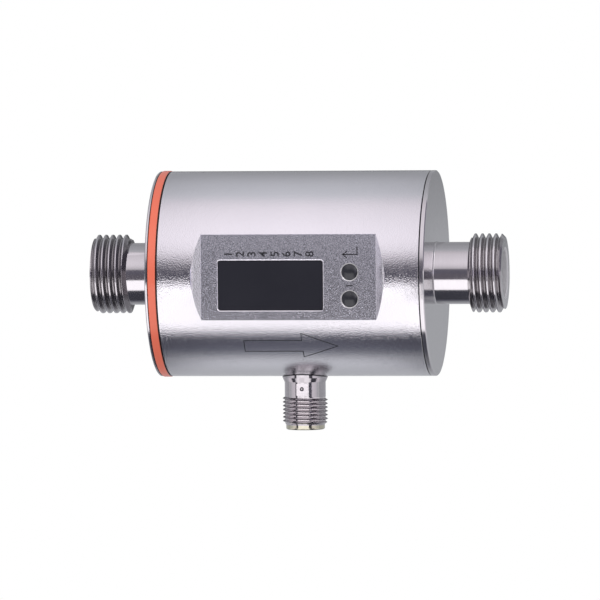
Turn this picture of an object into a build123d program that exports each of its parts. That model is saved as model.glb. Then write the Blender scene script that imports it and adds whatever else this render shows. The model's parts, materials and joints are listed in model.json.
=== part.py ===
from build123d import *
from math import radians, sqrt, tan
import os

# Inline flow meter that measures a conductive liquid with a magnetic field and two electrodes.
# All sizes are in millimetres. +X is the flow direction, the display faces -Y and the cable
# connector points to -Z. The origin is on the bore's axis, midway between the sealing faces.

# Flow path and threaded nipples
overall_length = 110.0      # between the two sealing faces
bore_diameter = 13.0        # the same through both fittings and the measuring tube
mouth_chamfer = 0.4
thread_diameter = 20.955    # G 1/2, major diameter
inlet_thread_length = 9.9
outlet_thread_length = 9.0
tip_chamfer = 0.92
thread_end_diameter = 18.2  # where the last, fading turn meets the neck
thread_end_bevel = 0.5
neck_diameter = 16.45
inlet_reach = 17.7          # from the inlet cap's face to its sealing face
outlet_reach = 18.25
neck_fillet = 0.25

# Housing tube and what closes its two ends
housing_diameter = 54.5
housing_wall = 1.05
edge_bevel = 0.22           # broken edges of the caps and of the tube
inlet_rim = 0.62            # visible edge of the inlet cap
outlet_rim = 1.15
marker_width = 2.5          # coloured ring beside the inlet cap
marker_proud = 0.17
marker_round = 0.3
marker_gap = 0.2            # open joint on both sides of the ring's crown
marker_gap_depth = 0.5
outlet_gasket = 0.16
gasket_recess = 0.3         # how far the thin gasket lies under the tube's surface
cap_plate = 4.0             # thickness of the end caps
spigot_length = 6.4         # how far each cap reaches into the tube
spigot_wall = 3.0
spigot_lead = 0.5

# Display flat pressed into the front of the tube
flat_depth = 2.43
flat_start = -22.58
flat_end = 23.84
flat_slope = 47.0           # degrees, of the crescent walls at both ends
flat_corner = 0.3           # inner corner between the flat and a crescent wall
flat_shoulder = 1.5         # rounding where a crescent wall meets the tube

# Window and push buttons
window_width = 27.7
window_height = 12.9
window_x = -4.2
window_z = -2.2
window_corner = 0.5
window_edge = 0.45          # rounding of the punched opening
window_recess = 0.3
window_slack = 0.06
window_flange = 2.0
window_flange_thickness = 1.15
window_gasket_thickness = 0.5
window_gasket_width = 1.6
button_x = 16.8
button_z = (1.3, -5.8)
button_diameter = 4.14
button_hole_diameter = 4.3
button_hole_edge = 0.3
button_proud = 0.2
button_dome = 0.5
button_flange_diameter = 5.8
button_flange_thickness = 0.8
button_stem_diameter = 2.5
button_travel = 0.5
button_stop_gap = 0.35      # between a pressed button's flange and the carrier

# Display unit behind the flat
carrier_thickness = 1.3
carrier_post_height = 2.4
carrier_post_diameter = 4.4
carrier_screw_diameter = 2.0
carrier_screw_inset = 3.4
carrier_end_margin = 0.8
carrier_opening_margin = 0.6
display_board_thickness = 1.2
digits_side_gap = 0.85      # between the digits and the sides of the carrier's opening
digits_gap = 0.15           # under the window, and between the lamps and their guide
digits_foot_gap = 0.25
digit_count = 4
segment_length_share = 0.42 # length and width of one bar of a digit, as shares of the digit's pitch
segment_width_share = 0.09
segment_depth = 0.3
lamp_count = 8
lamp_row_gap = 0.7          # between the digits and the light guide
guide_side_gap = 0.35
guide_end_gap = 0.4
lamp_length = 1.6
lamp_width = 0.8
lamp_height = 0.6
guide_bar = 1.0
guide_width = 1.9
guide_leg = 1.0
switch_size = 4.6
switch_height = 1.5
plunger_diameter = 1.8
plunger_exposed = 0.9
plunger_inside = 0.5

# Measuring tube, electrodes and temperature probe
tube_diameter = 19.0
socket_wall = 3.0
socket_depth = 6.0
tube_seal_width = 2.4
tube_seal_depth = 1.2
tube_seal_inset = 1.8
electrode_boss_diameter = 10.0
electrode_boss_reach = 12.6     # from the flow axis
electrode_tip_diameter = 3.0
electrode_seat_reach = 9.0
electrode_shoulder_diameter = 5.0
electrode_shoulder_thickness = 1.1
electrode_seal_thickness = 0.9
electrode_stem_diameter = 2.0
electrode_stem_exposed = 0.3
electrode_nut_diameter = 8.0
probe_gap = 1.0             # between the yoke and the probe's boss
probe_boss_diameter = 7.0
probe_tip_diameter = 3.0
probe_head_diameter = 4.4
probe_head_height = 1.6

# Magnet: two poles with coils inside a steel yoke
pole_length = 16.0          # along the flow
pole_thickness = 1.3
pole_half_angle = 46.0      # degrees around the tube, each side of the vertical
core_diameter = 8.0
coil_diameter = 18.4
bobbin_flange_diameter = 19.6
bobbin_wall = 0.8
yoke_width = 20.0
yoke_thickness = 1.5
yoke_clearance = 1.7
magnet_gap = 0.35           # between the lower yoke screw and the connector's contacts
yoke_screw_diameter = 2.5
yoke_screw_head_diameter = 5.0
yoke_screw_head_height = 1.4
yoke_screw_grip = 4.0

# Main board, its parts and the two moulded frames that carry the boards
main_board_thickness = 1.6
main_board_gap = 1.5
carrier_edge_gap = 1.6
board_edge_gap = 0.5
frame_thickness = 2.5
frame_slot_depth = 1.4
frame_slot_gap = 0.1
frame_window = 5.0          # diameter of the wiring holes in the frames
link_width = 7.0
link_thickness = 0.3
link_gap = 1.0              # beside the yoke
link_socket_height = 1.8
link_socket_depth = 2.4
# Each part of the main board as its x and z, then its length, width and height
processor = (-14.0, 0.0, 10.0, 10.0, 1.3)
amplifier = (0.0, 6.5, 7.0, 5.0, 1.6)
output_driver = (0.0, -6.0, 5.0, 6.0, 1.6)
supply_coil = (12.0, -5.0, 8.0, 8.0, 4.0)
capacitor_x = (8.0, 15.0)
capacitor_z = 6.0
capacitor_diameter = 5.6
capacitor_height = 3.5

# Cable connector, M12
connector_x = 1.2
connector_thread_diameter = 12.0
connector_collar_diameter = 12.06
connector_collar_end_diameter = 11.2
connector_collar_height = 1.35      # below the housing
connector_shank_length = 4.4
connector_thread_length = 7.0
connector_end_length = 1.45
connector_socket_depth = 8.25       # from the open end to the face of the insulator
connector_shank_diameter = 10.9
connector_thread_bevel = 0.6
connector_end_diameter = 10.3
connector_end_bevel = 0.75
connector_socket_diameter = 8.5
connector_back_diameter = 7.4
connector_step_height = 3.2         # from the insulator's face to the step that stops it
connector_neck_diameter = 11.0
connector_flat_depth = 0.25
connector_flat_angle = 1.5          # degrees, turned towards the inlet
connector_flat_height = 3.4
connector_dimple_diameter = 1.2
connector_dimple_depth = 0.15
connector_saddle_diameter = 16.0
connector_saddle_height = 1.8
connector_nut_size = 14.0           # across the flats
connector_nut_height = 1.8
connector_seal_width = 1.0
connector_seal_height = 0.8
connector_back_gap = 0.3
pin_diameter = 1.0
pin_circle = 5.5
pin_inset = 1.2                     # pin tips behind the shell's end
pin_tail = 0.4
connector_board_thickness = 1.0
connector_board_diameter = 13.0

# Fits
slip = 0.05                 # radial gap of parts that slide together
free = 0.3                  # gap of parts that must not touch
stack_gap = 0.1             # play between bobbin, pole and yoke
seal_bevel = 0.3            # softened corners of the squeezed rubber rings

# Positions that follow from the sizes
bore_r = bore_diameter / 2
housing_r = housing_diameter / 2
inner_r = housing_r - housing_wall
spigot_r = inner_r - slip
spigot_inner_r = spigot_r - spigot_wall
tip_x = overall_length / 2
inlet_cap_x = tip_x - inlet_reach       # both measured from the origin, so positive
outlet_cap_x = tip_x - outlet_reach
tube_start_x = -(inlet_cap_x - inlet_rim - marker_width)
tube_end_x = outlet_cap_x - outlet_rim - outlet_gasket
inlet_spigot_x = -tube_start_x - spigot_length
outlet_spigot_x = tube_end_x - spigot_length
flat_y = -(housing_r - flat_depth)
flat_back_y = flat_y + housing_wall
window_front_y = flat_y + window_recess
window_step_y = flat_back_y + window_gasket_thickness
window_back_y = window_step_y + window_flange_thickness
carrier_front_y = window_step_y + button_flange_thickness + button_travel + button_stop_gap
carrier_back_y = carrier_front_y + carrier_thickness
board_front_y = carrier_back_y + carrier_post_height
board_back_y = board_front_y + display_board_thickness
switch_top_y = board_front_y - switch_height
plunger_top_y = switch_top_y - plunger_exposed
opening_width = window_width - 2 * carrier_opening_margin
opening_height = window_height - 2 * carrier_opening_margin
flange_width = window_width + 2 * window_flange
flange_height = window_height + 2 * window_flange
tube_r = tube_diameter / 2
socket_r = tube_r + slip
hub_r = socket_r + socket_wall
inlet_plate_x = inlet_cap_x - cap_plate
outlet_plate_x = outlet_cap_x - cap_plate
board_start_x = -(inlet_plate_x - frame_thickness + frame_slot_depth - frame_slot_gap)
board_end_x = outlet_plate_x - frame_thickness + frame_slot_depth - frame_slot_gap
electrode_seal_reach = electrode_seat_reach + electrode_seal_thickness
electrode_nut_reach = electrode_seal_reach + electrode_shoulder_thickness
pole_inner_r = tube_r + slip
pole_outer_r = pole_inner_r + pole_thickness
yoke_inner_y = bobbin_flange_diameter / 2 + yoke_clearance
yoke_outer_y = yoke_inner_y + yoke_thickness
electrode_end_reach = electrode_boss_reach + electrode_stem_exposed
main_front_y = max(yoke_outer_y, electrode_end_reach) + main_board_gap
main_back_y = main_front_y + main_board_thickness
probe_x = -(yoke_width + probe_boss_diameter) / 2 - probe_gap
saddle_top_z = -(inner_r - connector_saddle_height)
nut_top_z = saddle_top_z + connector_nut_height
shell_top_z = nut_top_z + connector_back_gap
pin_top_z = shell_top_z + connector_board_thickness + pin_tail
collar_end_z = -housing_r - connector_collar_height
shank_end_z = collar_end_z - connector_shank_length
thread_end_z = shank_end_z - connector_thread_length
connector_end_z = thread_end_z - connector_end_length
insert_face_z = connector_end_z + connector_socket_depth
insert_step_z = insert_face_z + connector_step_height
pin_tip_z = connector_end_z + pin_inset

# The magnet fills the room between the measuring tube and the connector
yoke_outer_z = -pin_top_z - magnet_gap - yoke_screw_head_height
yoke_inner_z = yoke_outer_z - yoke_thickness
bobbin_end_z = yoke_inner_z - stack_gap
bobbin_start_z = pole_outer_r + stack_gap

# Digits and lamps share the carrier's opening
digits_width = opening_width - 2 * digits_side_gap
guide_z = window_z + opening_height / 2 - guide_side_gap - guide_width / 2
digits_foot_z = window_z - opening_height / 2 + digits_foot_gap
digits_top_z = guide_z - guide_width / 2 - lamp_row_gap
guide_reach = opening_width / 2 - guide_end_gap
lamp_reach = guide_reach - guide_leg - free - lamp_length / 2


def half_width(radius, y):
    """Half the width that a round space of this radius leaves at depth y."""
    return sqrt(radius ** 2 - y ** 2)


display_half_z = half_width(spigot_inner_r - board_edge_gap, board_front_y)
main_half_z = half_width(spigot_inner_r - board_edge_gap, main_back_y)
carrier_half_z = half_width(inner_r - carrier_edge_gap, carrier_front_y)
link_x = (yoke_width + link_width) / 2 + link_gap
link_z = display_half_z - link_socket_depth / 2 - free


def block(x, y, z):
    """Box between three pairs of limits."""
    size = [high - low for low, high in (x, y, z)]
    centre = [(high + low) / 2 for low, high in (x, y, z)]
    return Pos(*centre) * Box(*size)


def turned_x(*points):
    """Solid turned about the flow axis from (x, radius) points."""
    return revolve(make_face(Polyline(*points, close=True)), Axis.X)


def turned_y(x, z, *points):
    """Solid turned about an axis along Y from (radius, y) points."""
    return Pos(x, 0, z) * revolve(make_face(Polyline(*points, close=True)), Axis.Y)


def turned_z(x, *points):
    """Solid turned about an upright axis from (radius, z) points."""
    profile = Plane.XZ * make_face(Polyline(*points, close=True))
    return Pos(x, 0, 0) * revolve(profile, Axis.Z)


def ring_x(inner, outer, start, end):
    return turned_x((start, inner), (start, outer), (end, outer), (end, inner))


def ring_y(x, z, inner, outer, start, end):
    return turned_y(x, z, (inner, start), (outer, start), (outer, end), (inner, end))


def ring_z(x, inner, outer, start, end):
    return turned_z(x, (inner, start), (outer, start), (outer, end), (inner, end))


def rod_y(x, z, radius, start, end):
    return ring_y(x, z, 0, radius, start, end)


def rod_z(x, radius, start, end):
    return ring_z(x, 0, radius, start, end)


def seal_x(inner, outer, start, end):
    """Rubber ring about the flow axis with softened corners."""
    soft = seal_bevel
    return turned_x(
        (start, inner + soft), (start, outer - soft), (start + soft, outer), (end - soft, outer),
        (end, outer - soft), (end, inner + soft), (end - soft, inner), (start + soft, inner),
    )


def both_sides(solid, plane):
    """A solid and its mirror image, as the two pieces of one node."""
    return Compound(children=[solid, mirror(solid, plane)])


def rounded_plate(width, height, corner, x, z, front, back):
    """Plate with rounded corners that faces the viewer, between two depths."""
    outline = Plane.XZ * RectangleRounded(width, height, corner)
    return Pos(x, back, z) * extrude(outline, amount=back - front)


# Housing


def flat_press(inset):
    """Prism that forms the display flat; inset shifts all its faces inwards by a wall thickness."""
    level = flat_y + inset
    crown = -(housing_r - inset)
    shift = inset * tan(radians(flat_slope / 2))
    run = (level - crown) / tan(radians(flat_slope))
    start, end = flat_start - shift, flat_end + shift
    lead = flat_shoulder + housing_wall
    corner, shoulder = flat_corner + inset, flat_shoulder - inset
    outline = FilletPolyline(
        (start, level), (end, level), (end + run, crown), (end + run + lead, crown),
        (end + run + lead, crown - lead), (start - run - lead, crown - lead),
        (start - run - lead, crown), (start - run, crown),
        radius=[corner, corner, shoulder, 0, 0, 0, 0, shoulder], close=True,
    )
    return extrude(make_face(outline), amount=housing_r, both=True)


def housing_tube():
    outside = turned_x(
        (tube_start_x, 0), (tube_start_x, housing_r - edge_bevel),
        (tube_start_x + edge_bevel, housing_r), (tube_end_x - edge_bevel, housing_r),
        (tube_end_x, housing_r - edge_bevel), (tube_end_x, 0),
    )
    hollow = turned_x((tube_start_x, 0), (tube_start_x, inner_r), (tube_end_x, inner_r), (tube_end_x, 0))
    tube = (outside - flat_press(0)) - (hollow - flat_press(housing_wall))
    tube -= rounded_plate(
        window_width, window_height, window_corner, window_x, window_z,
        flat_y - housing_wall, flat_back_y + housing_wall,
    )
    flat = tube.faces().filter_by(Axis.Y).sort_by(Axis.Y)[0]
    tube = fillet([edge for wire in flat.inner_wires() for edge in wire.edges()], window_edge)
    hole, edge = button_hole_diameter / 2, button_hole_edge
    for z in button_z:
        tube -= rod_y(button_x, z, hole, flat_y - housing_wall, flat_back_y + housing_wall)
        tube -= turned_y(
            button_x, z, (0, flat_y - edge), (hole + 2 * edge, flat_y - edge),
            (hole, flat_y + edge), (0, flat_y + edge),
        )
    neck = connector_neck_diameter / 2 + slip
    return tube - rod_z(connector_x, neck, -housing_r - housing_wall, -inner_r + housing_wall)


def end_fitting(cap_x, plate_x, rim, spigot_x, thread_length):
    """One turned piece: nipple, end cap, spigot and the socket of the measuring tube."""
    thread_r, neck_r = thread_diameter / 2, neck_diameter / 2
    end_r = thread_end_diameter / 2
    thread_x = tip_x - thread_length
    body = turned_x(
        (tip_x, bore_r + mouth_chamfer), (tip_x, thread_r - tip_chamfer),
        (tip_x - tip_chamfer, thread_r), (thread_x + thread_end_bevel, thread_r),
        (thread_x, end_r), (thread_x, neck_r), (cap_x, neck_r),
        (cap_x, housing_r - edge_bevel), (cap_x - edge_bevel, housing_r),
        (cap_x - rim, housing_r), (cap_x - rim, spigot_r),
        (spigot_x + spigot_lead, spigot_r), (spigot_x, spigot_r - spigot_lead),
        (spigot_x, spigot_inner_r), (plate_x, spigot_inner_r), (plate_x, hub_r),
        (plate_x - socket_depth, hub_r), (plate_x - socket_depth, socket_r),
        (plate_x, socket_r), (plate_x, bore_r), (tip_x - mouth_chamfer, bore_r),
    )
    cap_edges = body.edges().filter_by(GeomType.CIRCLE).filter_by_position(Axis.X, cap_x, cap_x)
    body = fillet(cap_edges.sort_by(SortBy.RADIUS)[0], neck_fillet)
    return body - ring_x(groove_r(), spigot_r + slip, *spigot_groove(spigot_x))


def spigot_groove(spigot_x):
    """Where the ring groove of a spigot starts and ends along the flow."""
    start = spigot_x + spigot_length / 3
    return start, start + tube_seal_width


def groove_r():
    return inner_r - tube_seal_depth


def inlet_fitting():
    fitting = end_fitting(inlet_cap_x, inlet_plate_x, inlet_rim, inlet_spigot_x, inlet_thread_length)
    return mirror(fitting, Plane.YZ)


def outlet_fitting():
    return end_fitting(outlet_cap_x, outlet_plate_x, outlet_rim, outlet_spigot_x, outlet_thread_length)


def spigot_seals():
    inlet = mirror(seal_x(groove_r(), inner_r, *spigot_groove(inlet_spigot_x)), Plane.YZ)
    outlet = seal_x(groove_r(), inner_r, *spigot_groove(outlet_spigot_x))
    return Compound(children=[inlet, outlet])


def marker_ring():
    """Ring with a rounded crown; the joints beside it show as two thin dark lines."""
    start, end = tube_start_x - marker_width, tube_start_x
    crown = housing_r + marker_proud
    base = ring_x(inner_r, housing_r - marker_gap_depth, start, end)
    top = ring_x(inner_r, crown, start + marker_gap, end - marker_gap)
    rims = top.edges().filter_by(GeomType.CIRCLE).sort_by(SortBy.RADIUS)[-2:]
    return base + fillet(rims, marker_round)


def outlet_gap_gasket():
    return ring_x(inner_r, housing_r - gasket_recess, tube_end_x, tube_end_x + outlet_gasket)


# Window, display and buttons


def display_window():
    boss = rounded_plate(
        window_width - 2 * window_slack, window_height - 2 * window_slack, window_corner,
        window_x, window_z, window_front_y, window_step_y,
    )
    flange = rounded_plate(
        flange_width, flange_height, window_corner, window_x, window_z, window_step_y, window_back_y
    )
    return boss + flange


def window_gasket():
    frame = rounded_plate(
        flange_width, flange_height, window_corner, window_x, window_z, flat_back_y, window_step_y
    )
    width, height = flange_width - 2 * window_gasket_width, flange_height - 2 * window_gasket_width
    return frame - rounded_plate(
        width, height, window_corner, window_x, window_z,
        flat_back_y - window_gasket_thickness, window_step_y + window_gasket_thickness,
    )


def carrier_corners():
    """Screw places of the display unit, as (x, z) pairs."""
    reach_z = carrier_half_z - carrier_screw_inset
    beside_digits = window_x - digits_width / 2 - carrier_post_diameter / 2 - free
    beside_switch = button_x - switch_size / 2 - carrier_post_diameter / 2 - free
    xs = (beside_digits, beside_switch)
    return [(x, z) for x in xs for z in (-reach_z, reach_z)]


def display_carrier():
    """Moulded frame that presses the window outwards, guides the buttons and stands on the board."""
    start = carrier_corners()[0][0] - carrier_post_diameter / 2 - carrier_end_margin
    xs = (start, button_x + button_flange_diameter / 2 + carrier_end_margin)
    frame = block(xs, (carrier_front_y, carrier_back_y), (-carrier_half_z, carrier_half_z))
    frame += rounded_plate(
        flange_width, flange_height, window_corner, window_x, window_z, window_back_y, carrier_front_y
    )
    frame -= rounded_plate(
        opening_width, opening_height, window_corner, window_x, window_z,
        window_back_y - free, carrier_back_y + free,
    )
    for x, z in carrier_corners():
        frame += rod_y(x, z, carrier_post_diameter / 2, carrier_back_y, board_front_y)
    for x, z in carrier_corners():
        frame -= rod_y(x, z, carrier_screw_diameter / 2, carrier_back_y, board_front_y)
    for z in button_z:
        guide = button_stem_diameter / 2 + slip
        frame -= rod_y(button_x, z, guide, window_back_y, carrier_back_y + free)
    return frame


def carrier_screws():
    screws = []
    for x, z in carrier_corners():
        shank = rod_y(x, z, carrier_screw_diameter / 2 - slip, carrier_back_y + free, board_back_y)
        head = rod_y(x, z, carrier_screw_diameter, board_back_y, board_back_y + carrier_screw_diameter / 2)
        screws.append(shank + head)
    return Compound(children=screws)


def display_board():
    board = block(
        (board_start_x, board_end_x), (board_front_y, board_back_y), (-display_half_z, display_half_z)
    )
    for x, z in carrier_corners():
        board -= rod_y(x, z, carrier_screw_diameter / 2, board_front_y, board_back_y)
    return board


def digit_display():
    """Block of light-emitting digits, with a shallow bar pocket for every segment."""
    z = (digits_foot_z + digits_top_z) / 2
    top = window_back_y + digits_gap
    body = block(
        (window_x - digits_width / 2, window_x + digits_width / 2), (top, board_front_y),
        (digits_foot_z, digits_top_z),
    )
    pitch = digits_width / digit_count
    bar_long, bar_wide = pitch * segment_length_share, pitch * segment_width_share
    pocket = (top - segment_depth, top + segment_depth)
    for index in range(digit_count):
        x = window_x + (index - (digit_count - 1) / 2) * pitch
        for row in (-1, 0, 1):
            level = z + row * bar_long
            half = bar_long / 2 - bar_wide
            body -= block((x - half, x + half), pocket, (level - bar_wide, level + bar_wide))
        for side in (-1, 1):
            for row in (-1, 1):
                edge, middle = x + side * bar_long / 2, z + row * bar_long / 2
                half = bar_long / 2 - 2 * bar_wide
                body -= block(
                    (edge - bar_wide / 2, edge + bar_wide / 2), pocket, (middle - half, middle + half)
                )
    return body


def lamp_places():
    """X positions of the row of indicator lamps."""
    pitch = 2 * lamp_reach / (lamp_count - 1)
    return [window_x - lamp_reach + index * pitch for index in range(lamp_count)]


def status_lamps():
    return Compound(children=[
        block(
            (x - lamp_length / 2, x + lamp_length / 2), (board_front_y - lamp_height, board_front_y),
            (guide_z - lamp_width / 2, guide_z + lamp_width / 2),
        )
        for x in lamp_places()
    ])


def light_guide():
    """Clear bar over the lamps, with a post above each and a leg on the board at both ends."""
    top = window_back_y + digits_gap
    depth = (guide_z - guide_width / 2, guide_z + guide_width / 2)
    bar = block((window_x - guide_reach, window_x + guide_reach), (top, top + guide_bar), depth)
    for end in (window_x - guide_reach, window_x + guide_reach - guide_leg):
        bar += block((end, end + guide_leg), (top, board_front_y), depth)
    tip = board_front_y - lamp_height - digits_gap
    for x in lamp_places():
        bar += rod_y(x, guide_z, lamp_width / 2, top, tip)
    return bar


def push_button(z):
    """Domed cap in the housing's hole, with a retaining flange and the stem to its switch."""
    cap_r, flange_r, stem_r = button_diameter / 2, button_flange_diameter / 2, button_stem_diameter / 2
    apex = flat_y - button_proud
    flange_back = window_step_y + button_flange_thickness
    dome_r = (cap_r ** 2 + button_dome ** 2) / (2 * button_dome)
    button = rod_y(button_x, z, cap_r, apex, window_step_y)
    button &= Pos(button_x, apex + dome_r, z) * Sphere(dome_r)
    button += rod_y(button_x, z, flange_r, window_step_y, flange_back)
    return button + rod_y(button_x, z, stem_r, flange_back, plunger_top_y)


def upper_button():
    return push_button(button_z[0])


def lower_button():
    return push_button(button_z[1])


def button_seals():
    inner = button_hole_diameter / 2
    outer = button_flange_diameter / 2
    return Compound(children=[
        ring_y(button_x, z, inner, outer, flat_back_y, window_step_y) for z in button_z
    ])


def switch_body(z):
    half = switch_size / 2
    body = block(
        (button_x - half, button_x + half), (switch_top_y, board_front_y), (z - half, z + half)
    )
    depth = plunger_inside + button_travel + free
    return body - rod_y(
        button_x, z, plunger_diameter / 2 + slip, switch_top_y - slip, switch_top_y + depth
    )


def upper_switch():
    return switch_body(button_z[0])


def lower_switch():
    return switch_body(button_z[1])


def plunger(z):
    return rod_y(button_x, z, plunger_diameter / 2, plunger_top_y, switch_top_y + plunger_inside)


def upper_plunger():
    return plunger(button_z[0])


def lower_plunger():
    return plunger(button_z[1])


# Flow sensor


def electrode_hole():
    """Stepped hole through one boss, from the bore outwards."""
    steps = (
        (electrode_tip_diameter / 2 + slip, 0, electrode_seat_reach),
        (electrode_shoulder_diameter / 2 + slip, electrode_seat_reach, electrode_nut_reach),
        (electrode_nut_diameter / 2 + slip, electrode_nut_reach, electrode_boss_reach + free),
    )
    hole = rod_y(0, 0, *steps[0])
    for step in steps[1:]:
        hole += rod_y(0, 0, *step)
    return hole


def measuring_tube():
    tube = ring_x(bore_r, tube_r, -inlet_plate_x, outlet_plate_x)
    boss = rod_y(0, 0, electrode_boss_diameter / 2, 0, electrode_boss_reach)
    tube += boss + mirror(boss, Plane.XZ)
    tube += rod_y(probe_x, 0, probe_boss_diameter / 2, 0, electrode_seat_reach + probe_head_height)
    tube -= electrode_hole() + mirror(electrode_hole(), Plane.XZ)
    tube -= rod_y(probe_x, 0, probe_tip_diameter / 2 + slip, 0, electrode_boss_reach)
    tube -= ring_x(0, bore_r, -inlet_plate_x - free, outlet_plate_x + free)
    for start, end in tube_grooves():
        tube -= ring_x(tube_r - tube_seal_depth, tube_r + free, start, end)
    return tube


def tube_grooves():
    """Ring grooves at both ends of the measuring tube."""
    inlet = -inlet_plate_x + tube_seal_inset
    outlet = outlet_plate_x - tube_seal_inset
    return [(inlet, inlet + tube_seal_width), (outlet - tube_seal_width, outlet)]


def tube_seals():
    return Compound(children=[
        seal_x(tube_r - tube_seal_depth, socket_r, start, end) for start, end in tube_grooves()
    ])


def electrodes():
    tip_r, shoulder_r = electrode_tip_diameter / 2, electrode_shoulder_diameter / 2
    stem_r = electrode_stem_diameter / 2
    pin = rod_y(0, 0, tip_r, 0, electrode_seal_reach)
    pin += rod_y(0, 0, shoulder_r, electrode_seal_reach, electrode_nut_reach)
    pin += rod_y(0, 0, stem_r, electrode_nut_reach, electrode_end_reach)
    pin -= ring_x(0, bore_r, -electrode_boss_diameter, electrode_boss_diameter)
    return both_sides(pin, Plane.XZ)


def electrode_seals():
    ring = ring_y(
        0, 0, electrode_tip_diameter / 2 + slip, electrode_shoulder_diameter / 2,
        electrode_seat_reach, electrode_seal_reach,
    )
    return both_sides(ring, Plane.XZ)


def electrode_nuts():
    nut = ring_y(
        0, 0, electrode_stem_diameter / 2 + slip, electrode_nut_diameter / 2,
        electrode_nut_reach, electrode_boss_reach,
    )
    return both_sides(nut, Plane.XZ)


def temperature_probe():
    head_start = electrode_seat_reach + probe_head_height
    probe = rod_y(probe_x, 0, probe_tip_diameter / 2, 0, head_start)
    probe += rod_y(probe_x, 0, probe_head_diameter / 2, head_start, head_start + probe_head_height)
    return probe - ring_x(0, bore_r, probe_x - probe_boss_diameter, probe_x + probe_boss_diameter)


def magnet_pole():
    """Saddle over the tube with the coil's core on its back, one piece of soft iron."""
    half = pole_length / 2
    saddle = ring_x(pole_inner_r, pole_outer_r, -half, half)
    side = pole_outer_r * tan(radians(pole_half_angle))
    wedge = Polyline((0, 0), (side, pole_outer_r), (-side, pole_outer_r), close=True)
    saddle &= extrude(Plane.YZ * make_face(wedge), amount=half, both=True)
    core = rod_z(0, core_diameter / 2, 0, yoke_inner_z) - ring_x(0, pole_inner_r, -half, half)
    pole = saddle + core
    return pole - rod_z(0, yoke_screw_diameter / 2, yoke_inner_z - yoke_screw_grip, yoke_inner_z)


def upper_pole():
    return magnet_pole()


def lower_pole():
    return mirror(magnet_pole(), Plane.XY)


def coil_bobbin():
    bore, barrel = core_diameter / 2 + slip, core_diameter / 2 + bobbin_wall
    flange, low, high = bobbin_flange_diameter / 2, bobbin_start_z, bobbin_end_z
    return turned_z(
        0, (bore, low), (flange, low), (flange, low + bobbin_wall), (barrel, low + bobbin_wall),
        (barrel, high - bobbin_wall), (flange, high - bobbin_wall), (flange, high), (bore, high),
    )


def upper_bobbin():
    return coil_bobbin()


def lower_bobbin():
    return mirror(coil_bobbin(), Plane.XY)


def coil_winding():
    return ring_z(
        0, core_diameter / 2 + bobbin_wall, coil_diameter / 2,
        bobbin_start_z + bobbin_wall, bobbin_end_z - bobbin_wall,
    )


def upper_coil():
    return coil_winding()


def lower_coil():
    return mirror(coil_winding(), Plane.XY)


def half_yoke():
    """Folded steel strap over one coil, with a half round notch in each leg for the electrode boss."""
    xs = (-yoke_width / 2, yoke_width / 2)
    strap = block(xs, (-yoke_outer_y, yoke_outer_y), (0, yoke_outer_z))
    folds = strap.edges().filter_by(Axis.X).filter_by_position(Axis.Z, yoke_outer_z, yoke_outer_z)
    strap = fillet(folds, yoke_thickness)
    strap -= block(
        (-yoke_width, yoke_width), (-yoke_inner_y, yoke_inner_y), (-yoke_thickness, yoke_inner_z)
    )
    notch = electrode_boss_diameter / 2 + free
    strap -= rod_y(0, 0, notch, -yoke_outer_y - free, yoke_outer_y + free)
    return strap - rod_z(0, yoke_screw_diameter / 2, yoke_inner_z, yoke_outer_z)


def upper_yoke():
    return half_yoke()


def lower_yoke():
    return mirror(half_yoke(), Plane.XY)


def yoke_screws():
    shank = rod_z(0, yoke_screw_diameter / 2 - slip, yoke_inner_z - yoke_screw_grip + free, yoke_outer_z)
    head = rod_z(0, yoke_screw_head_diameter / 2, yoke_outer_z, yoke_outer_z + yoke_screw_head_height)
    return both_sides(shank + head, Plane.XY)


# Electronics


def board_frame(plate_x):
    """Moulded ring on the hub of the outlet cap that holds the ends of both boards in its slots."""
    start = plate_x - frame_thickness
    disc = ring_x(hub_r + slip, spigot_inner_r - slip, start, plate_x)
    hole = ring_x(0, frame_window / 2, start, plate_x)
    for side in (-1, 1):
        disc -= Pos(0, 0, side * (hub_r + spigot_inner_r) / 2) * hole
    slots = ((board_front_y, board_back_y, display_half_z), (main_front_y, main_back_y, main_half_z))
    for front, back, half in slots:
        disc -= block(
            (start, start + frame_slot_depth), (front - frame_slot_gap, back + frame_slot_gap),
            (-half - frame_slot_gap, half + frame_slot_gap),
        )
    return disc


def inlet_frame():
    return mirror(board_frame(inlet_plate_x), Plane.YZ)


def outlet_frame():
    return board_frame(outlet_plate_x)


def main_board():
    return block((board_start_x, board_end_x), (main_front_y, main_back_y), (-main_half_z, main_half_z))


def board_parts():
    """Processor, supply coil, capacitors and driver chips on the outer side of the main board."""
    solids = []
    for x, z, length, width, height in (processor, amplifier, output_driver, supply_coil):
        solids.append(block(
            (x - length / 2, x + length / 2), (main_back_y, main_back_y + height),
            (z - width / 2, z + width / 2),
        ))
    for x in capacitor_x:
        solids.append(rod_y(
            x, capacitor_z, capacitor_diameter / 2, main_back_y, main_back_y + capacitor_height
        ))
    return Compound(children=solids)


def board_link():
    """Flat flexible lead between the two boards, beside the magnet."""
    xs = (link_x - link_width / 2, link_x + link_width / 2)
    ys = (board_back_y + link_socket_height, main_front_y - link_socket_height)
    return block(xs, ys, (link_z, link_z + link_thickness))


def link_sockets():
    xs = (link_x - link_width / 2, link_x + link_width / 2)
    zs = (link_z - link_socket_depth / 2, link_z + link_socket_depth / 2)
    front = block(xs, (board_back_y, board_back_y + link_socket_height), zs)
    rear = block(xs, (main_front_y - link_socket_height, main_front_y), zs)
    return Compound(children=[front, rear])


# Cable connector


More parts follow.
